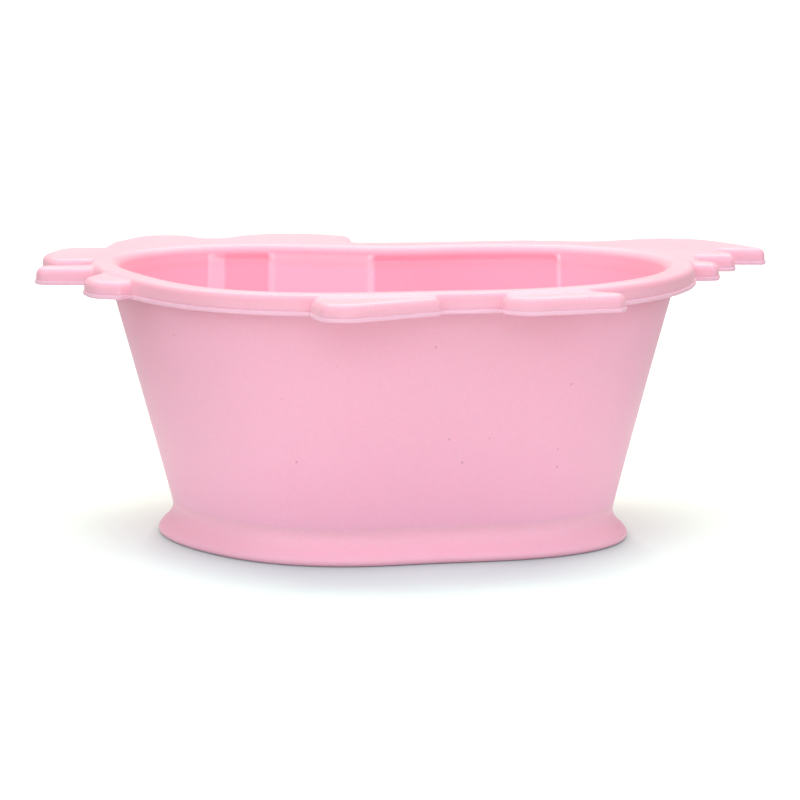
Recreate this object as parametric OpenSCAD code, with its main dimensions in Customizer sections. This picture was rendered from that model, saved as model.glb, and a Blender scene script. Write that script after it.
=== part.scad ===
// Suction bowl for a toddler: a deep soft bowl with a lobed rim and a suction foot.
// Millimetres, +Z up. The origin is under the middle of the overall outline,
// on the surface that the bowl stands on.

/* [Overall] */
// Height from the table to the top of the rim
total_h = 62; // [56:0.5:68]

/* [Bowl outline] */
// Mean radius of the wall's outer outline just under the rim
plan_r = 57.2; // [54:0.1:60]
// How much the outline is stretched sideways into an oval
plan_oval = 8.4; // [6:0.1:9]
// How far the whole outline leans towards the back
plan_lean = 3.6; // [2:0.1:4.5]
// Depth of the shallow waist in the back edge
plan_bean = 4.2; // [2:0.1:4.4]
// How square the four corners are
plan_square = 2.6; // [1.5:0.1:3]
// How much fuller the right end is than the left end
plan_skew = 1.4; // [0:0.1:2]
// Slant of the corners
plan_twist = 0.9; // [0:0.1:1.2]
// How far the outline is moved to the right
plan_shift = 0.2; // [0:0.1:0.6]

/* [Foot outline] */
// Mean radius of the wall's outer outline at the waist, just above the foot
waist_r = 41.8; // [40:0.1:43]
// How much the waist is stretched sideways into an oval
waist_oval = 8.5; // [7:0.1:9.5]
// How far the waist leans towards the back
waist_lean = 0.7; // [0:0.1:2]
// How much flatter the waist is at the back than at the front
waist_bean = 2.3; // [1:0.1:3]
// How square the waist's corners are
waist_square = 0.5; // [0:0.1:1.5]
// How much fuller the right end of the waist is than the left end
waist_skew = 2.2; // [0:0.1:2.6]
// Slant of the waist's corners
waist_twist = 0.8; // [0:0.1:1.2]
// How far the waist is moved to the left
waist_shift = 0.8; // [0:0.1:1.5]
// How far the waist's long axis is turned
waist_turn = 1.2; // [0:0.1:1.6]

/* [Wall] */
// Thickness of the side wall
wall_t = 3; // [2.5:0.1:3.5]
// Thickness of the floor
floor_t = 3; // [2.5:0.1:4]
// Radius where the wall turns into the floor inside
floor_r = 7; // [5:0.5:9]
// Depth of the sunk panels inside the back wall
panel_depth = 1.1; // [0.6:0.1:1.4]

/* [Rim] */
// Thickness of the rim at its raised bead
rim_t = 4.6; // [4:0.1:5]
// How far the bead stands out from the wall
bead_w = 4.95; // [4:0.05:5.5]
// Radius of the bead's inner edge, where it turns down into the bowl
mouth_r = 1.9; // [1.2:0.1:2.2]
// How much lower the lobes are than the bead
lobe_drop = 0.8; // [0.5:0.1:1.2]
// Thickness of the lower layer, which is moulded with the wall
lip_t = 1; // [0.8:0.1:1.4]
// How far the lower layer stands out past the bead
lip_step = 0.25; // [0.1:0.05:0.4]

/* [Suction foot] */
// Height of the foot, from the table to the waist
foot_h = 6.5; // [5.5:0.1:7.5]
// How far the foot flares out from the waist
foot_flare = 3.5; // [2.5:0.1:4]
// Thickness of the foot at the waist
foot_t = 2.6; // [2.2:0.1:3]
// Width of the flat sealing face that meets the table
seal_w = 1.6; // [1.2:0.1:2]

/* [Colours] */
// Colour of the bowl and its rim
bowl_colour = "pink"; // [pink, lightpink, lightblue, lightgreen]

/* [Hidden] */
steps = 96;

// Middle of the overall outline, measured from the bowl's own middle
mid = [4.15, 8.46];

rim_z = total_h - rim_t;
seam_z = rim_z + lip_t;

// Lobes of the rim, seen from above: x, y and corner radius of each corner
crest = [
    [-62, 40, 0], [-69.1, 48, 2], [-67.7, 61.5, 11], [-61, 77.5, 9], [-50, 79.3, 9],
    [-43, 68.5, 3], [-36, 78.6, 12], [-26, 83, 14], [-15, 79.8, 9], [-9.6, 74, 2.5], [-8.4, 60.5, 2.5],
    [8, 62, 20], [21, 64.5, 20], [33, 66.5, 12], [41, 65.2, 8], [49, 63, 10],
    [57, 67.5, 12], [67, 71.5, 12], [77, 68, 12], [85.8, 55.8, 10], [90.2, 47.8, 1.7],
    [89.8, 44.8, 1.5], [78.8, 45, 1], [79.8, 41, 1], [82, 37.2, 2.2], [81.6, 31, 2],
    [73, 31, 0], [72.5, 22, 1], [76.9, 17.4, 2.3], [76, 11.6, 2], [62, 12, 0],
    [48, 38, 0], [20, 46, 0], [-20, 46, 0]
];
left_back_lobe = [[-58, 22, 0], [-79.2, 22, 5], [-82.1, 35, 10], [-78.6, 50, 8], [-58, 50.5, 0]];
left_mid_lobe = [[-60, 3.8, 0], [-81, 4, 3.6], [-81.2, 11.2, 3.4], [-60, 14, 0]];
left_front_lobe = [[-56, -2, 0], [-65.5, -3, 2], [-69, -13, 8], [-66.2, -22.5, 6], [-58.8, -24.6, 1], [-52, -18, 0]];
front_left_lobe = [[-12, -45, 0], [-17.2, -54, 4], [-14.5, -63.5, 5], [-8.5, -66, 6], [11.3, -52.5, 2], [11.5, -45, 0]];
front_right_lobe = [[24.5, -41, 0], [24.6, -50, 3], [30, -53.8, 6], [50.6, -46.8, 2], [52.3, -43, 2.2], [44, -38, 0], [41, -33, 0]];
LOBES = [crest, left_back_lobe, left_mid_lobe, left_front_lobe, front_left_lobe, front_right_lobe];

// Radius of the wall's outer outline at angle a, under the rim and at the waist
function top_rad(a) = plan_r + plan_shift * cos(a) + plan_lean * sin(a) + plan_oval * cos(2 * a)
    + plan_skew * cos(3 * a) + plan_bean * sin(3 * a)
    - plan_square * cos(4 * a) - plan_twist * sin(4 * a);
function waist_rad(a) = waist_r - waist_shift * cos(a) + waist_lean * sin(a)
    + waist_oval * cos(2 * a) - waist_turn * sin(2 * a)
    + waist_skew * cos(3 * a) + waist_bean * sin(3 * a)
    - waist_square * cos(4 * a) - waist_twist * sin(4 * a);

// The outline part way up the wall: t is 0 at the waist and 1 under the rim
function plan_pt(a, t) = ((1 - t) * waist_rad(a) + t * top_rad(a)) * [cos(a), sin(a)];
function plan_dir(a, t) = let (d = plan_pt(a + 0.05, t) - plan_pt(a - 0.05, t)) [d[1], -d[0]] / norm(d);
function up(z) = (z - foot_h) / (rim_z - foot_h);

// The outline moved out by d, square to itself
function outline(d, t) = [for (i = [0:steps - 1]) let (a = i * 360 / steps) plan_pt(a, t) + d * plan_dir(a, t)];
function ring(d, t, z) = [for (p = outline(d, t)) [p[0], p[1], z]];

// A polygon with its corners rounded: points are [x, y, radius]
function unit(v) = v / norm(v);
function corner(p, a, b, r, seg = 5) =
    let (u = unit(a - p), v = unit(b - p), h = acos(max(-1, min(1, u * v))) / 2)
    (r <= 0 || h > 89) ? [p] :
    let (
        reach = min(r / tan(h), norm(a - p) / 2, norm(b - p) / 2),
        rad = reach * tan(h),
        c = p + unit(u + v) * rad / sin(h),
        s = p + u * reach - c,
        e = p + v * reach - c,
        a0 = atan2(s[1], s[0]),
        turn = ((atan2(e[1], e[0]) - a0 + 540) % 360) - 180
    )
    [for (k = [0:seg]) c + rad * [cos(a0 + turn * k / seg), sin(a0 + turn * k / seg)]];
function rounded(c) = [
    for (i = [0:len(c) - 1])
        let (n = len(c), p = c[i], a = c[(i + n - 1) % n], b = c[(i + 1) % n])
        for (q = corner([p[0], p[1]], [a[0], a[1]], [b[0], b[1]], p[2])) q
];

// A closed solid through a stack of rings, each [offset, share of the wall's height, height]
module stack(levels) {
    n = steps;
    m = len(levels);
    pts = [for (l = levels) each ring(l[0], l[1], l[2])];
    bottom = [[for (i = [0:n - 1]) i]];
    top = [[for (i = [n - 1:-1:0]) (m - 1) * n + i]];
    sides = [
        for (k = [0:m - 2]) for (i = [0:n - 1])
            let (j = (i + 1) % n)
            each [[k * n + i, (k + 1) * n + i, (k + 1) * n + j], [k * n + i, (k + 1) * n + j, k * n + j]]
    ];
    polyhedron(points = pts, faces = concat(bottom, top, sides), convexity = 6);
}

// Flat plate between two heights with the bead's outline and the lobes
module lobed_plate(z0, z1, grow) {
    translate([0, 0, z0]) linear_extrude(height = z1 - z0) {
        polygon(outline(bead_w + grow, 1));
        for (l = LOBES) polygon(rounded(l));
    }
}

// The space inside the bowl, from the floor to past the rim
module cavity() {
    stack(concat(
        [for (k = [0:15:90]) let (z = foot_h + floor_t + floor_r * (1 - cos(k)))
            [-wall_t - floor_r * (1 - sin(k)), up(z), z]],
        [[-wall_t, up(rim_z), rim_z]],
        [for (k = [0:22.5:90]) let (z = total_h - mouth_r * (1 - sin(k))) [-wall_t + mouth_r * (1 - cos(k)), up(z), z]],
        [[-wall_t + mouth_r, up(total_h), total_h + 1]]
    ));
}

// Sunk panels inside the back wall, from above the floor to the rounded edge of the mouth
module panels() {
    intersection() {
        stack([for (z = [foot_h + floor_t + 9, total_h - mouth_r]) [-wall_t + panel_depth, up(z), z]]);
        union() {
            translate([-41, 10, 0]) cube([13, 60, total_h]);
            translate([-4, 10, 0]) cube([44.5, 60, total_h]);
        }
    }
}

// Upper layer of the rim: raised bead around the mouth and lower lobes outside it
module rim_frame() {
    color(bowl_colour) translate([-mid[0], -mid[1], 0]) difference() {
        union() {
            lobed_plate(seam_z, total_h - lobe_drop, -lip_step);
            stack([for (p = [[0, seam_z], [0, total_h - 1.4], [-0.4, total_h - 0.5], [-1.4, total_h]]) [bead_w - lip_step + p[0], 1, p[1]]]);
        }
        cavity();
        panels();
    }
}

// Side wall, floor and the thin lower layer of the rim
module bowl_shell() {
    color(bowl_colour) translate([-mid[0], -mid[1], 0]) difference() {
        union() {
            stack([[0, 0, foot_h], [0, 0.25, foot_h + 0.25 * (rim_z - foot_h)], [0, 0.5, foot_h + 0.5 * (rim_z - foot_h)], [0, 0.75, foot_h + 0.75 * (rim_z - foot_h)], [0, 1, rim_z], [0, 1, seam_z]]);
            lobed_plate(rim_z, seam_z, 0);
        }
        cavity();
        panels();
    }
}

// Flexible flared foot with the flat lip that seals against the table
module suction_foot() {
    color(bowl_colour) translate([-mid[0], -mid[1], 0]) difference() {
        stack([for (p = [[foot_flare - 0.8, 0], [foot_flare - 0.2, 0.35], [foot_flare, 1.1], [foot_flare - 0.3, 1.8], [foot_flare * 0.5, 4], [0.4, 5.6], [0, foot_h]]) [p[0], 0, p[1]]]);
        stack([for (p = [[foot_flare - 0.8 - seal_w, -1], [foot_flare - 0.8 - seal_w, 0], [foot_flare - 1.2 - seal_w, 0.6], [-foot_t * 0.5, 3.6], [-foot_t, 5.4], [-foot_t, foot_h + 1]]) [p[0], 0, p[1]]]);
    }
}

rim_frame();
bowl_shell();
suction_foot();
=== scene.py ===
import math

import bpy
import numpy as np
from mathutils import Matrix, Vector


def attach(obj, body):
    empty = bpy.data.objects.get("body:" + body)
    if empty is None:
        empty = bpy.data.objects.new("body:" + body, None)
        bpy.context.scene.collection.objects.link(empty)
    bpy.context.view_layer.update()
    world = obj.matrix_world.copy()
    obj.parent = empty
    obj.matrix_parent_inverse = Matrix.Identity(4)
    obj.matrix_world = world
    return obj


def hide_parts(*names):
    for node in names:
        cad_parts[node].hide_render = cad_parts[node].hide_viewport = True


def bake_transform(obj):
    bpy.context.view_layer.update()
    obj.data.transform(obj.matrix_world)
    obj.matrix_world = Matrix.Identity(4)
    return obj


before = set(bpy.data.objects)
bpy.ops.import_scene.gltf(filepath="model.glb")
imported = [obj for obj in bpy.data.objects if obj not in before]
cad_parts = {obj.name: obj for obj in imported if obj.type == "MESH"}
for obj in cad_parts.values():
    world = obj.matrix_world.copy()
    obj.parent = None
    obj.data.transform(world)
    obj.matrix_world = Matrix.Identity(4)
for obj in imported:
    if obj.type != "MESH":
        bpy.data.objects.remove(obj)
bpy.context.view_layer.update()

MM = 0.001
MID = np.array([4.15, 8.46])      # the row origin, in the bowl's own plan axes, mm
H = 62.0                          # top of the bead
RIM_T = 4.6                       # bead thickness
LIP_T = 1.0                       # lower layer of the rim
RIM_Z = H - RIM_T
SEAM_Z = RIM_Z + LIP_T
LOBE_Z = H - 0.65
FOOT_H = 6.5
FLOOR_Z = 9.5
BEAD_W = 4.95
STEP = 0.25
WALL_T = 3.0
FLARE = 3.5

scene = bpy.context.scene

# ------------------------------------------------------------------ camera

cam_data = bpy.data.cameras.new("camera")
cam_data.lens = 4077.0 / 800.0 * 36.0
cam_data.sensor_width = 36.0
cam_data.clip_start = 0.05
cam_data.clip_end = 50.0
cam = bpy.data.objects.new("camera", cam_data)
scene.collection.objects.link(cam)
tilt, pan = 0.1455, -0.0028
fw = Vector((-math.sin(pan) * math.cos(tilt), math.cos(pan) * math.cos(tilt), -math.sin(tilt)))
right = fw.cross(Vector((0, 0, 1))).normalized()
upv = right.cross(fw)
rot = Matrix((right, upv, -fw)).transposed()
cam.matrix_world = Matrix.Translation(Vector((-MID[0] * MM, (-921.1 - MID[1]) * MM, 0.1665))) @ rot.to_4x4()
scene.camera = cam

# ------------------------------------------------------------------ plan outlines


def top_rad(a):
    return (57.2 + 0.2 * np.cos(a) + 3.6 * np.sin(a) + 8.4 * np.cos(2 * a) + 1.4 * np.cos(3 * a) + 4.2 * np.sin(3 * a)
            - 2.6 * np.cos(4 * a) - 0.9 * np.sin(4 * a))


def waist_rad(a):
    return (41.8 - 0.8 * np.cos(a) + 0.7 * np.sin(a) + 8.5 * np.cos(2 * a) - 1.2 * np.sin(2 * a)
            + 2.2 * np.cos(3 * a) + 2.3 * np.sin(3 * a) - 0.5 * np.cos(4 * a) - 0.8 * np.sin(4 * a))


def slope_of(rad, a, e=1e-4):
    return (rad(a + e) - rad(a - e)) / (2 * e)


def up(z):
    return (z - FOOT_H) / (RIM_Z - FOOT_H)


def rounded(corners, seg=10):
    """A closed polygon with its corners rounded: corners are (x, y, radius)."""
    out = []
    n = len(corners)
    for i in range(n):
        p = np.array(corners[i][:2], float)
        r = float(corners[i][2])
        a = np.array(corners[i - 1][:2], float) - p
        b = np.array(corners[(i + 1) % n][:2], float) - p
        la, lb = np.linalg.norm(a), np.linalg.norm(b)
        u, v = a / la, b / lb
        h = math.acos(max(-1.0, min(1.0, float(u @ v)))) / 2
        if r <= 0 or h > 1.55:
            out.append(p)
            continue
        reach = min(r / math.tan(h), la / 2, lb / 2)
        r = reach * math.tan(h)
        c = p + (u + v) / np.linalg.norm(u + v) * r / math.sin(h)
        s, e = p + u * reach - c, p + v * reach - c
        a0 = math.atan2(s[1], s[0])
        turn = (math.atan2(e[1], e[0]) - a0 + math.pi) % (2 * math.pi) - math.pi
        for k in range(seg + 1):
            t = a0 + turn * k / seg
            out.append(c + r * np.array([math.cos(t), math.sin(t)]))
    return np.array(out)


CREST = [(-62, 40, 0), (-69.1, 48, 2), (-67.7, 61.5, 11), (-61, 77.5, 9), (-50, 79.3, 9), (-43, 68.5, 3), (-36, 78.6, 12), (-26, 83, 14),
         (-15, 79.8, 9), (-9.0, 74.8, 2.3), (-8.0, 60.8, 2.4), (8, 62, 20), (21, 64.5, 20), (33, 66.5, 12), (41, 65.2, 8), (49, 63, 10),
         (57, 67.5, 12), (67, 71.5, 12), (77, 68, 12), (85.8, 55.8, 10), (90.2, 47.8, 1.7), (89.8, 44.8, 1.5), (78.8, 45, 1), (79.8, 41, 1),
         (82, 37.2, 2.2), (81.6, 31, 2), (73, 31, 0), (72.5, 22, 1), (76.9, 17.4, 2.3), (76, 11.6, 2), (62, 12, 0), (48, 38, 0), (20, 46, 0),
         (-20, 46, 0)]
LEFT_BACK = [(-58, 22, 0), (-79.2, 22, 5), (-82.1, 35, 10), (-78.6, 50, 8), (-58, 50.5, 0)]
LEFT_MID = [(-60, 3.8, 0), (-81, 4, 3.6), (-81.2, 11.2, 3.4), (-60, 14, 0)]
LEFT_FRONT = [(-56, -2, 0), (-65.5, -3, 2), (-69, -13, 8), (-66.2, -21.9, 6), (-59.6, -23.8, 1), (-52, -18, 0)]
FRONT_LEFT = [(-12, -45, 0), (-17.2, -54, 4), (-14.5, -63.5, 5), (-8.5, -66, 6), (11.3, -52.5, 2), (11.5, -45, 0)]
FRONT_RIGHT = [(24.5, -41, 0), (24.6, -50, 3), (30, -53.8, 6), (50.6, -46.8, 2), (52.3, -43, 2.2), (44, -38, 0), (41, -33, 0)]
LOBES = [CREST, LEFT_BACK, LEFT_MID, LEFT_FRONT, FRONT_LEFT, FRONT_RIGHT]

# ------------------------------------------------------------------ distance fields in plan


def poly_distance(px, py, poly):
    """Signed distance, negative inside, from points to a closed polygon."""
    shape = px.shape
    px, py = px.ravel(), py.ravel()
    a = poly
    b = np.roll(poly, -1, 0)
    keep = np.linalg.norm(b - a, axis=1) > 1e-9
    a, b = a[keep], b[keep]
    best = np.full(px.shape, 1e18)
    inside = np.zeros(px.shape, bool)
    for (x0, y0), (x1, y1) in zip(a, b):
        dx, dy = x1 - x0, y1 - y0
        t = np.clip(((px - x0) * dx + (py - y0) * dy) / (dx * dx + dy * dy), 0, 1)
        ex, ey = px - x0 - t * dx, py - y0 - t * dy
        best = np.minimum(best, ex * ex + ey * ey)
        if y0 != y1:
            hit = ((y0 > py) != (y1 > py)) & (px < dx * (py - y0) / dy + x0)
            inside ^= hit
    d = np.sqrt(best)
    return np.where(inside, -d, d).reshape(shape)


def top_distance(px, py):
    """Signed distance to the wall's outline under the rim, by Newton steps on the nearest angle."""
    shape = px.shape
    px, py = px.ravel(), py.ravel()
    a = np.arctan2(py, px)

    def at(t):
        r, dr = top_rad(t), slope_of(top_rad, t)
        d2 = (top_rad(t + 1e-3) - 2 * r + top_rad(t - 1e-3)) / 1e-6
        c, s = np.cos(t), np.sin(t)
        return (r * c, r * s, dr * c - r * s, dr * s + r * c,
                d2 * c - 2 * dr * s - r * c, d2 * s + 2 * dr * c - r * s)
    for _ in range(6):
        x, y, tx, ty, cx, cy = at(a)
        g = (x - px) * tx + (y - py) * ty
        h = tx * tx + ty * ty + (x - px) * cx + (y - py) * cy
        h = np.maximum(h, 0.3 * (tx * tx + ty * ty))
        a = a - np.clip(g / h, -0.15, 0.15)
    x, y, tx, ty, _, _ = at(a)
    d = np.hypot(px - x, py - y)
    inside = np.hypot(px, py) < top_rad(np.arctan2(py, px))
    return np.where(inside, -d, d).reshape(shape)


PLAN = {}
PLAN_STEP = 0.5
gx = np.arange(-90.0, 96.0, PLAN_STEP)
gy = np.arange(-72.0, 92.0, PLAN_STEP)
GX, GY = np.meshgrid(gx, gy, indexing="ij")
PLAN["bead"] = top_distance(GX, GY)
lobe = np.full(GX.shape, 1e9)
for corners in LOBES:
    lobe = np.minimum(lobe, poly_distance(GX, GY, rounded(corners)))
PLAN["lobe"] = lobe


def sample(field, x, y):
    """Bilinear look-up of a plan field, in mm."""
    f = PLAN[field]
    u = np.clip((x - gx[0]) / PLAN_STEP, 0, f.shape[0] - 1.001)
    v = np.clip((y - gy[0]) / PLAN_STEP, 0, f.shape[1] - 1.001)
    i, j = u.astype(int), v.astype(int)
    a, b = u - i, v - j
    return (f[i, j] * (1 - a) * (1 - b) + f[i + 1, j] * a * (1 - b) + f[i, j + 1] * (1 - a) * b + f[i + 1, j + 1] * a * b)


def polar(x, y):
    a = np.arctan2(y, x)
    return (np.hypot(x, y), top_rad(a), slope_of(top_rad, a), waist_rad(a), slope_of(waist_rad, a))


def wall_distance(pol, z):
    """Distance to the wall's outer face at height z: negative towards the bowl's axis."""
    rho, rt, dt, rw, dw = pol
    t = up(z)
    r = (1 - t) * rw + t * rt
    d = (1 - t) * dw + t * dt
    return (rho - r) * r / np.sqrt(r * r + d * d)


def smooth_step(e0, e1, v):
    t = np.clip((v - e0) / (e1 - e0), 0, 1)
    return t * t * (3 - 2 * t)


PANELS = [  # left edge, right edge, and the widths of the sloped sides, mm
    (-43.0, -27.2, 3.8, 1.4),
    (-5.0, 40.9, 1.6, 0.8),
]
PANEL_DEEP = 0.8
PANEL_TOP = 60.15


def panel_inside(x, y, z, x0, x1, w0, w1):
    """0 outside a sunk panel, 1 on its flat back, with rounded upper corners."""
    r = 2.2
    dx = np.maximum(np.maximum(x0 + r - x, x - (x1 - r)), 0)
    dz = np.maximum(z - (PANEL_TOP - r), 0)
    edge = r - np.hypot(dx, dz)
    side = np.where(x < (x0 + x1) / 2, w0, w1)
    w = (dx * side + dz * 1.8 + 1e-6) / (dx + dz + 1e-6)
    w = np.minimum(np.maximum(w, 0.5), 4.0)
    inner = np.minimum(x - x0, x1 - x)
    edge = np.where(dz > 0, edge, np.minimum(edge + 0 * inner, inner))
    t = np.clip(edge / np.minimum(w, r), 0, 1)
    wide = np.clip(inner / side, 0, 1)
    t = np.where(dz > 0, np.minimum(t, wide), wide)
    return t * t * (3 - 2 * t) * smooth_step(17.0, 20.0, z) * (y > 12)


def panel_depth(x, y, z):
    """How deep the sunk panels in the inner back wall are at a point."""
    out = np.zeros(np.broadcast(x, y, z).shape)
    for x0, x1, w0, w1 in PANELS:
        out = np.maximum(out, panel_inside(x, y, z, x0, x1, w0, w1))
    return PANEL_DEEP * out


def painted_light_tone(x, y, z, pol, rim):
    """Painted light on the moulding: the inner wall darkened as painted shade, the sloped panel sides and the strip
    between the panels lightened as painted highlights, the rim a little paler, more so just above the seam, and the
    lip's outer face paler as a painted highlight.
    """
    inside = (wall_distance(pol, z) < -1.0) * (1 - smooth_step(PANEL_TOP - 0.2, PANEL_TOP + 1.0, z))
    back = (y > 12) * smooth_step(17.0, 20.0, z) * (1 - smooth_step(PANEL_TOP - 0.6, PANEL_TOP + 0.3, z))
    (a0, a1, aw0, aw1), (b0, b1, bw0, bw1) = PANELS
    soft = 0.2

    def span(lo, hi):
        return smooth_step(lo - soft, lo + soft, x) * (1 - smooth_step(hi - soft, hi + soft, x))
    # painted shade: the whole inner wall is made deeper; painted highlights: the strip between the panels, the sloped
    # panel sides and the panels' upper ends are made paler
    painted_light = np.full(x.shape, -0.4)
    painted_light += 0.75 * span(a1, b0) * back
    painted_light += (1.15 * span(a0, a0 + aw0) + 1.6 * span(a1 - aw1, a1) + 1.5 * span(b0, b0 + bw0) + 1.7 * span(b1 - bw1, b1)) * back
    painted_light += 0.3 * (span(a0, a1) + span(b0, b1)) * back * smooth_step(PANEL_TOP - 2.4, PANEL_TOP - 0.8, z)
    # outside the cavity: the rim painted a little paler, paler still just above the seam, and the lip's outer face
    # painted paler as a highlight
    if rim:
        outer = 0.1 + 0.14 * (1 - smooth_step(SEAM_Z + 0.2, SEAM_Z + 2.2, z))
    else:
        outer = 0.6 * smooth_step(0.5, 1.5, wall_distance(pol, z)) * smooth_step(RIM_Z + 0.1, RIM_Z + 0.4, z)
    return painted_light * inside + outer * (1 - inside)


def smin(a, b, k):
    h = np.maximum(k - np.abs(a - b), 0.0) / k
    return np.minimum(a, b) - h * h * k * 0.25


def smax(a, b, k):
    return -smin(-a, -b, k)


def rmax(a, b, r):
    """Meeting of two half spaces with a true round of radius r."""
    u, v = np.maximum(a + r, 0), np.maximum(b + r, 0)
    return np.minimum(np.maximum(a, b), -r) + np.sqrt(u * u + v * v)


# ------------------------------------------------------------------ the solids, as distance functions, mm, plan axes


def cavity(x, y, z, pol):
    side = wall_distance(pol, z) + WALL_T - panel_depth(x, y, z)
    return rmax(side * 0.97, FLOOR_Z - z, 7.0)


def rim_solid(x, y, z, pol, bead=None, lobe=None):
    b = sample("bead", x, y) if bead is None else bead
    g = sample("lobe", x, y) if lobe is None else lobe
    up_z = z - SEAM_Z
    ring = rmax(b - (BEAD_W - STEP - 0.12) + up_z * 0.03, z - H, 1.4)
    flat = rmax(g + 0.28 + up_z * 0.03, z - LOBE_Z, 1.75)
    body = smin(ring, flat, 0.7)
    wall = wall_distance(pol, z)
    hole = -(wall + WALL_T - panel_depth(x, y, z)) * 0.97
    # below the seam, a thin tongue laps over the inside of the wall and runs out into it
    tongue = np.maximum(wall + WALL_T - 2.1, (SEAM_Z - 2.6) - z)
    body = np.maximum(body, np.minimum((SEAM_Z - 0.35) - z, tongue))
    lap = 0.04 - 0.1 * np.clip((SEAM_Z - z - 0.15) / 2.4, 0, 1)
    hole = hole - lap * (1 - smooth_step(SEAM_Z + 0.2, SEAM_Z + 1.2, z))
    return np.maximum(body, rmax(hole, z - H, 1.9))


def shell_solid(x, y, z, pol, bead=None, lobe=None):
    b = sample("bead", x, y) if bead is None else bead
    g = sample("lobe", x, y) if lobe is None else lobe
    wall = rmax(wall_distance(pol, z) * 0.97, FOOT_H - z, 0.02)
    edge = np.minimum(b - BEAD_W, g)
    lip = rmax(edge, RIM_Z - z, 0.45)
    lip = rmax(lip, z - SEAM_Z, 0.24)
    body = smin(wall, lip, 0.5)
    body = np.maximum(body, z - SEAM_Z)
    return np.maximum(body, -cavity(x, y, z, pol))


# foot profile: how far out from the waist outline, against height, mm
FOOT_OUT = [(0.0, FLARE - 0.75), (0.12, FLARE - 0.42), (0.4, FLARE - 0.14), (0.9, FLARE), (1.4, FLARE - 0.1), (1.9, FLARE - 0.45),
            (3.0, FLARE - 1.35)]
LEAN = 0.27            # the wall's mean lean, mm per mm
CORNER_Z = 5.4        # where the flare's line meets the wall's line
FILLET = 2.4


def foot_lift(z):
    """How far the flare and its concave fillet stand off the wall's line."""
    return float(smax(np.float64(0.0), np.float64((1 + 0.22) * (CORNER_Z - z)), FILLET))


def foot_out(z):
    if z >= 3.0:
        return foot_lift(z) + LEAN * (z - FOOT_H)
    zs = np.array([p[0] for p in FOOT_OUT])
    ds = np.array([p[1] for p in FOOT_OUT])
    return float(np.interp(z, zs, ds))


# ------------------------------------------------------------------ surface nets

EDGE = [((0, 0, 0), (1, 0, 0)), ((0, 1, 0), (1, 1, 0)), ((0, 0, 1), (1, 0, 1)), ((0, 1, 1), (1, 1, 1)),
        ((0, 0, 0), (0, 1, 0)), ((1, 0, 0), (1, 1, 0)), ((0, 0, 1), (0, 1, 1)), ((1, 0, 1), (1, 1, 1)),
        ((0, 0, 0), (0, 0, 1)), ((1, 0, 0), (1, 0, 1)), ((0, 1, 0), (0, 1, 1)), ((1, 1, 0), (1, 1, 1))]


def surface_net(F, xs, ys, zs):
    """Quads around the zero level of F on a rectilinear grid."""
    ins = F < 0
    c = (ins[:-1, :-1, :-1].astype(np.int8) + ins[1:, :-1, :-1] + ins[:-1, 1:, :-1] + ins[:-1, :-1, 1:]
         + ins[1:, 1:, :-1] + ins[1:, :-1, 1:] + ins[:-1, 1:, 1:] + ins[1:, 1:, 1:])
    cells = np.argwhere((c > 0) & (c < 8))
    index = np.full(c.shape, -1, np.int64)
    index[tuple(cells.T)] = np.arange(len(cells))
    pos = np.zeros((len(cells), 3))
    cnt = np.zeros(len(cells))
    axes = (xs, ys, zs)
    for p, q in EDGE:
        ia = cells + np.array(p)
        ib = cells + np.array(q)
        fa, fb = F[tuple(ia.T)], F[tuple(ib.T)]
        m = (fa < 0) != (fb < 0)
        t = np.where(m, fa / np.where(m, fa - fb, 1), 0)
        a = np.stack([axes[k][ia[:, k]] for k in range(3)], 1)
        b = np.stack([axes[k][ib[:, k]] for k in range(3)], 1)
        pos += np.where(m[:, None], a + (b - a) * t[:, None], 0)
        cnt += m
    pos /= cnt[:, None]
    quads = []
    for ax in range(3):
        o1, o2 = [k for k in range(3) if k != ax]
        lo = [slice(None)] * 3
        hi = [slice(None)] * 3
        lo[ax], hi[ax] = slice(0, -1), slice(1, None)
        a, b = ins[tuple(lo)], ins[tuple(hi)]
        e = np.argwhere(a != b)
        ok = (e[:, o1] > 0) & (e[:, o1] < ins.shape[o1] - 1) & (e[:, o2] > 0) & (e[:, o2] < ins.shape[o2] - 1)
        e = e[ok]
        d1, d2 = np.zeros(3, int), np.zeros(3, int)
        d1[o1] = 1
        d2[o2] = 1
        v = [index[tuple((e - s).T)] for s in (d1 * 0 + d2 * 0, d1, d1 + d2, d2)]
        q = np.stack(v, 1)
        flip = a[tuple(e.T)]
        if ax == 1:
            flip = ~flip
        q[~flip] = q[~flip][:, ::-1]
        quads.append(q)
    return pos, np.concatenate(quads)


def polish(pos, fn, steps=5, clamp=0.25, e=0.02):
    """Moves the net's points onto the true surface."""
    p = pos.copy()
    for _ in range(steps):
        f = fn(p)
        g = np.stack([(fn(p + d) - fn(p - d)) / (2 * e) for d in np.eye(3) * e], 1)
        n2 = np.maximum((g * g).sum(1), 0.05)
        move = -g * (f / n2)[:, None]
        length = np.linalg.norm(move, axis=1)
        move *= np.minimum(1, clamp / np.maximum(length, 1e-9))[:, None]
        p += move
    return p


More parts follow.
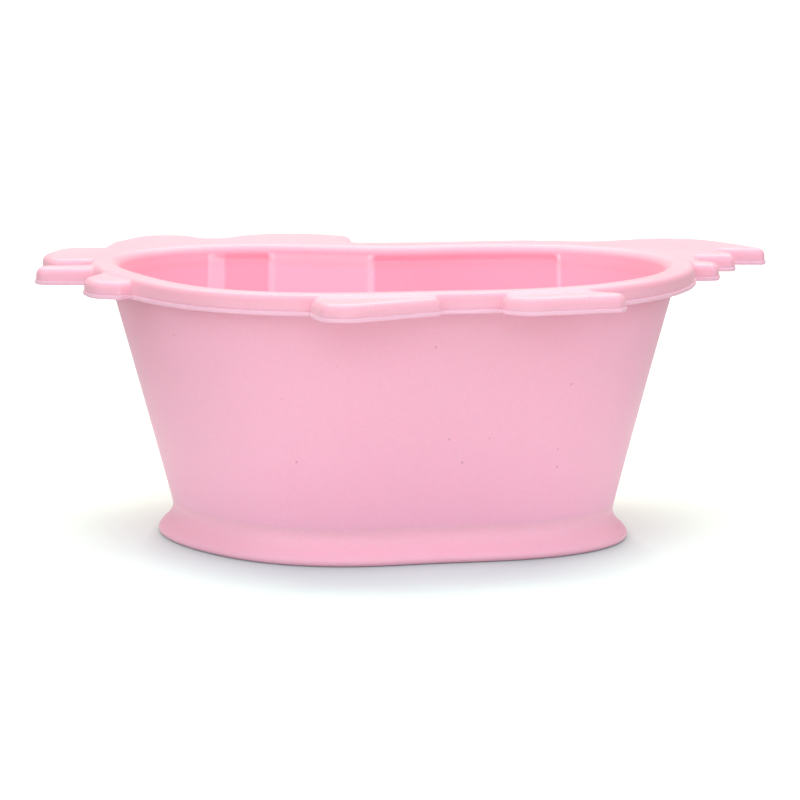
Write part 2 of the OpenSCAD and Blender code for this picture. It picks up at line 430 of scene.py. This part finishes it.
def make_mesh(name, verts_mm, faces, mat, smooth=True, rim=False):
    v = verts_mm.copy()
    v[:, 0] -= MID[0]
    v[:, 1] -= MID[1]
    v *= MM
    me = bpy.data.meshes.new(name)
    me.vertices.add(len(v))
    me.vertices.foreach_set("co", v.astype(np.float32).ravel())
    k = faces.shape[1]
    me.loops.add(len(faces) * k)
    me.loops.foreach_set("vertex_index", faces.astype(np.int32).ravel())
    me.polygons.add(len(faces))
    me.polygons.foreach_set("loop_start", np.arange(0, len(faces) * k, k, dtype=np.int32))
    me.polygons.foreach_set("loop_total", np.full(len(faces), k, dtype=np.int32))
    me.polygons.foreach_set("use_smooth", np.full(len(faces), smooth, dtype=bool))
    me.update(calc_edges=True)
    me.validate()
    ob = bpy.data.objects.new(name, me)
    scene.collection.objects.link(ob)
    if mat is not None:
        me.materials.append(mat)
    x, y, z = verts_mm[:, 0], verts_mm[:, 1], verts_mm[:, 2]
    # the painted shade and highlights, stored as a point attribute that the silicone materials read
    at = me.attributes.new("painted_light", "FLOAT", "POINT")
    at.data.foreach_set("value", painted_light_tone(x, y, z, polar(x, y), rim).astype(np.float32))
    return ob


def solid_by_net(solid, xs, ys, zs):
    X, Y = np.meshgrid(xs, ys, indexing="ij")
    pol = polar(X, Y)
    b, g = sample("bead", X, Y), sample("lobe", X, Y)
    F = np.empty((len(xs), len(ys), len(zs)))
    for k, z in enumerate(zs):
        F[:, :, k] = solid(X, Y, z, pol, b, g)
    pos, quads = surface_net(F, xs, ys, zs)

    def fn(p):
        x, y, z = p[:, 0], p[:, 1], p[:, 2]
        return solid(x, y, z, polar(x, y))
    return polish(pos, fn), quads


fine = 0.45

# ------------------------------------------------------------------ materials


def nodes_of(name):
    m = bpy.data.materials.new(name)
    m.use_nodes = True
    nt = m.node_tree
    return m, nt, nt.nodes["Principled BSDF"]


def silicone(name, base, rough=0.46, bump=0.05, specks=True):
    """Satin moulded silicone: faint clouding, a fine matt skin and a few dust specks."""
    m, nt, p = nodes_of(name)
    n, l = nt.nodes, nt.links
    tc = n.new("ShaderNodeTexCoord")
    cloud = n.new("ShaderNodeTexNoise")
    cloud.inputs["Scale"].default_value = 38.0
    cloud.inputs["Detail"].default_value = 3.0
    cloud.inputs["Roughness"].default_value = 0.55
    l.new(tc.outputs["Object"], cloud.inputs["Vector"])
    ramp = n.new("ShaderNodeValToRGB")
    ramp.color_ramp.elements[0].position = 0.3
    ramp.color_ramp.elements[1].position = 0.72
    lo = [c * k for c, k in zip(base, (0.995, 0.985, 0.988))]
    hi = [min(1.0, c * k) for c, k in zip(base, (1.004, 1.012, 1.01))]
    ramp.color_ramp.elements[0].color = (*lo, 1)
    ramp.color_ramp.elements[1].color = (*hi, 1)
    l.new(cloud.outputs["Fac"], ramp.inputs["Fac"])
    colour = ramp.outputs["Color"]
    grain = n.new("ShaderNodeTexNoise")
    grain.inputs["Scale"].default_value = 1400.0
    grain.inputs["Detail"].default_value = 2.0
    l.new(tc.outputs["Object"], grain.inputs["Vector"])
    gmix = n.new("ShaderNodeMix")
    gmix.data_type = "RGBA"
    gmix.blend_type = "MULTIPLY"
    gmix.inputs["Factor"].default_value = 1.0
    gr = n.new("ShaderNodeValToRGB")
    gr.color_ramp.elements[0].position = 0.3
    gr.color_ramp.elements[0].color = (0.975, 0.96, 0.965, 1)
    gr.color_ramp.elements[1].position = 0.7
    gr.color_ramp.elements[1].color = (1, 1, 1, 1)
    l.new(grain.outputs["Fac"], gr.inputs["Fac"])
    l.new(colour, gmix.inputs["A"])
    l.new(gr.outputs["Color"], gmix.inputs["B"])
    colour = gmix.outputs["Result"]
    if specks:
        vor = n.new("ShaderNodeTexVoronoi")
        vor.feature = "F1"
        vor.inputs["Scale"].default_value = 330.0
        l.new(tc.outputs["Object"], vor.inputs["Vector"])
        near = n.new("ShaderNodeMath")
        near.operation = "LESS_THAN"
        near.inputs[1].default_value = 0.1
        l.new(vor.outputs["Distance"], near.inputs[0])
        sep = n.new("ShaderNodeSeparateColor")
        l.new(vor.outputs["Color"], sep.inputs["Color"])
        rare = n.new("ShaderNodeMath")
        rare.operation = "GREATER_THAN"
        rare.inputs[1].default_value = 0.93
        l.new(sep.outputs["Red"], rare.inputs[0])
        both = n.new("ShaderNodeMath")
        both.operation = "MULTIPLY"
        l.new(near.outputs["Value"], both.inputs[0])
        l.new(rare.outputs["Value"], both.inputs[1])
        weak = n.new("ShaderNodeMath")
        weak.operation = "MULTIPLY"
        weak.inputs[1].default_value = 0.35
        l.new(both.outputs["Value"], weak.inputs[0])
        sp = n.new("ShaderNodeMix")
        sp.data_type = "RGBA"
        l.new(weak.outputs["Value"], sp.inputs["Factor"])
        l.new(colour, sp.inputs["A"])
        sp.inputs["B"].default_value = (0.35, 0.12, 0.2, 1)
        colour = sp.outputs["Result"]
    # painted light: a positive value mixes towards a paler pink (painted highlight), a negative value towards a
    # deeper pink (painted shade)
    painted_light = n.new("ShaderNodeAttribute")
    painted_light.attribute_name = "painted_light"
    for scale, mix_to in ((0.3, (1.0, 0.86, 0.92, 1)), (-1.1, (0.94, 0.33, 0.45, 1))):
        amount = n.new("ShaderNodeMath")
        amount.operation = "MULTIPLY"
        amount.use_clamp = True
        amount.inputs[1].default_value = scale
        l.new(painted_light.outputs["Fac"], amount.inputs[0])
        shade = n.new("ShaderNodeMix")
        shade.data_type = "RGBA"
        l.new(amount.outputs["Value"], shade.inputs["Factor"])
        l.new(colour, shade.inputs["A"])
        shade.inputs["B"].default_value = mix_to
        colour = shade.outputs["Result"]
    l.new(colour, p.inputs["Base Color"])
    rr = n.new("ShaderNodeMapRange")
    rr.inputs["From Min"].default_value = 0.3
    rr.inputs["From Max"].default_value = 0.7
    rr.inputs["To Min"].default_value = rough - 0.04
    rr.inputs["To Max"].default_value = rough + 0.05
    l.new(cloud.outputs["Fac"], rr.inputs["Value"])
    l.new(rr.outputs["Result"], p.inputs["Roughness"])
    b = n.new("ShaderNodeBump")
    b.inputs["Strength"].default_value = bump
    b.inputs["Distance"].default_value = 0.0002
    l.new(grain.outputs["Fac"], b.inputs["Height"])
    l.new(b.outputs["Normal"], p.inputs["Normal"])
    p.inputs["Specular IOR Level"].default_value = 0.35
    p.inputs["Subsurface Weight"].default_value = 0.25
    p.inputs["Subsurface Radius"].default_value = (1.0, 0.45, 0.55)
    p.inputs["Subsurface Scale"].default_value = 0.0022
    p.inputs["Sheen Weight"].default_value = 0.12
    p.inputs["Sheen Roughness"].default_value = 0.5
    return m


rim_mat = silicone("rim_silicone", (0.955, 0.464, 0.572))
shell_mat = silicone("bowl_silicone", (0.917, 0.461, 0.598))
foot_mat = silicone("foot_silicone", (0.92, 0.477, 0.58))

# ------------------------------------------------------------------ pieces

xs = np.arange(-85.0, 93.0, fine) + 0.013
ys = np.arange(-69.0, 87.0, fine) + 0.017
zs = np.concatenate([np.arange(55.4, 57.8, 0.3), np.arange(57.8, 58.9, 0.1), np.arange(58.9, 59.9, 0.25), np.arange(59.9, 62.6, 0.16)]) + 0.003
pos, quads = solid_by_net(rim_solid, xs, ys, zs)
rim = make_mesh("rim_frame_moulding", pos, quads, rim_mat, rim=True)
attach(rim, "bowl")
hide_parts("rim_frame")

zs = np.concatenate([np.arange(5.9, 7.3, 0.25), np.arange(7.3, 18.0, 0.6), np.arange(18.0, 56.6, 1.5), np.arange(56.6, 57.2, 0.2), np.arange(57.2, 59.0, 0.12)]) + 0.003
pos, quads = solid_by_net(shell_solid, xs, ys, zs)
shell = make_mesh("bowl_shell_moulding", pos, quads, shell_mat)
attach(shell, "bowl")
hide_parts("bowl_shell")

# the foot: rings round the waist outline
N = 720
ang = np.arange(N) * 2 * np.pi / N
r, d = waist_rad(ang), slope_of(waist_rad, ang)
cs, sn = np.cos(ang), np.sin(ang)
tx, ty = d * cs - r * sn, d * sn + r * cs
tl = np.hypot(tx, ty)
nx, ny = ty / tl, -tx / tl


def ring(off, z):
    return np.stack([r * cs + off * nx, r * sn + off * ny, np.full(N, z)], 1)


def wall_ring(off, z):
    t = up(z)
    q = (1 - t) * waist_rad(ang) + t * top_rad(ang)
    return np.stack([q * cs + off * nx, q * sn + off * ny, np.full(N, z)], 1)


rings = [wall_ring(-0.6, 8.3), wall_ring(-0.12, 8.1)]
for z in (7.9, 7.6, 7.3, 7.0, 6.7):
    rings.append(wall_ring(foot_lift(z) + 0.02, z))
prof = []
for z in (6.4, 6.1, 5.8, 5.5, 5.2, 4.9, 4.6, 4.3, 4.0, 3.6, 3.2, 2.8, 2.4, 2.1, 1.9, 1.65, 1.4, 1.15, 0.9, 0.65, 0.4, 0.25, 0.12, 0.04, 0.0):
    prof.append((foot_out(z), z))
prof += [(FLARE - 0.95, 0.0), (FLARE - 1.6, 0.0), (FLARE - 2.2, 0.0), (FLARE - 2.4, 0.05), (FLARE - 2.6, 0.25), (FLARE - 2.85, 0.7),
         (FLARE - 3.3, 1.4), (FLARE - 4.0, 2.4), (FLARE - 4.9, 3.6), (FLARE - 5.6, 4.7), (FLARE - 6.0, 5.6), (FLARE - 6.1, 6.2), (FLARE - 6.1, 6.6)]
rings += [ring(o, z) for o, z in prof]
rings += [wall_ring(-2.2, 7.6)]
verts = np.concatenate(rings)
M = len(rings)
i = np.arange(N)
j = (i + 1) % N
faces = np.concatenate([np.stack([k * N + i, ((k + 1) % M) * N + i, ((k + 1) % M) * N + j, k * N + j], 1) for k in range(M)])
foot = make_mesh("suction_foot_skirt", verts, faces, foot_mat)
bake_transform(foot)
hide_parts("suction_foot")

# ------------------------------------------------------------------ floor and light

def flat_sheet(name, points, z, colour):
    me = bpy.data.meshes.new(name)
    me.from_pydata([(x, y, z) for x, y in points], [], [tuple(range(len(points)))])
    ob = bpy.data.objects.new(name, me)
    scene.collection.objects.link(ob)
    m, nt, p = nodes_of(name + "_surface")
    p.inputs["Base Color"].default_value = (*colour, 1)
    p.inputs["Roughness"].default_value = 0.9
    p.inputs["Specular IOR Level"].default_value = 0.0
    me.materials.append(m)
    return ob


# a dark studio floor, and on it the white sweep that the bowl stands on
flat_sheet("studio_floor", [(-7, -5), (7, -5), (7, 9), (-7, 9)], -0.0006, (0.3, 0.3, 0.3))
flat_sheet("white_sweep", [(-0.078, -0.30), (0.078, -0.30), (0.446, 3.2), (-0.446, 3.2)], 0.0, (0.865, 1.0, 0.955))

# a painted contact shadow: the sweep's colour is darkened round the foot and stretched far out in front of it,
# standing in for the shadow
shadow_levels = [(-3.0, 0.0), (-0.2, 0.0), (0.08, 0.2), (0.25, 0.4), (0.5, 0.55), (1.1, 0.71), (2.0, 0.82), (2.8, 0.88), (4.0, 0.96), (5.0, 1.0)]
spread = 0.5 + 8.5 * np.maximum(0, -ny) ** 2
cv = np.concatenate([ring(FLARE - 0.6 + o * (spread if o > 0 else 1.0), 0.03) for o, _ in shadow_levels])
cf = np.concatenate([np.stack([k * N + i, k * N + j, (k + 1) * N + j, (k + 1) * N + i], 1) for k in range(len(shadow_levels) - 1)])
cm, cnt, cp = nodes_of("contact_shadow_paint")
contact_shadow = make_mesh("contact_shade", cv, cf, cm)
shade_at = contact_shadow.data.attributes.new("shade", "FLOAT", "POINT")
shade_at.data.foreach_set("value", np.repeat([v for _, v in shadow_levels], N).astype(np.float32))
ca = cnt.nodes.new("ShaderNodeAttribute")
ca.attribute_name = "shade"
cx = cnt.nodes.new("ShaderNodeMix")
cx.data_type = "RGBA"
cnt.links.new(ca.outputs["Fac"], cx.inputs["Factor"])
# the painted shadow's darkest colour, right at the foot; the outer end matches the sweep's colour
cx.inputs["A"].default_value = (0.34, 0.41, 0.4, 1)
cx.inputs["B"].default_value = (0.865, 1.0, 0.955, 1)
cnt.links.new(cx.outputs["Result"], cp.inputs["Base Color"])
cp.inputs["Roughness"].default_value = 0.9
cp.inputs["Specular IOR Level"].default_value = 0.0

world = bpy.data.worlds.new("world")
scene.world = world
world.use_nodes = True
wb = world.node_tree.nodes["Background"]
wb.inputs["Color"].default_value = (1, 1, 1, 1)
wb.inputs["Strength"].default_value = 0.21


def sun(name, elevation, azimuth, angle, strength, colour=(0.98, 1.0, 1.05)):
    """A distant soft light; azimuth 0 is the front and 90 the right."""
    ld = bpy.data.lights.new(name, "SUN")
    ld.angle = math.radians(angle)
    ld.energy = strength * math.pi
    ld.color = colour
    lo = bpy.data.objects.new(name, ld)
    scene.collection.objects.link(lo)
    e, a = math.radians(elevation), math.radians(azimuth)
    towards = Vector((math.cos(e) * math.sin(a), -math.cos(e) * math.cos(a), math.sin(e)))
    lo.rotation_mode = "QUATERNION"
    lo.rotation_quaternion = (-towards).to_track_quat("-Z", "Y")
    return lo


sun("key_back", 62, 180, 60, 0.87, (1.0, 0.965, 0.79))
sun("fill_left", 30, -60, 50, 0.32, (0.96, 1.0, 1.09))
sun("fill_right", 30, 60, 50, 0.29, (0.98, 1.0, 1.12))
sun("fill_front_low", 20, 0, 40, 0.15)
sun("fill_front_high", 45, 0, 50, 0.12)
sun("fill_top", 85, 0, 60, 0.13)

scene.view_settings.view_transform = "Standard"
scene.view_settings.look = "None"
scene.view_settings.exposure = 0.0
scene.view_settings.gamma = 1.0
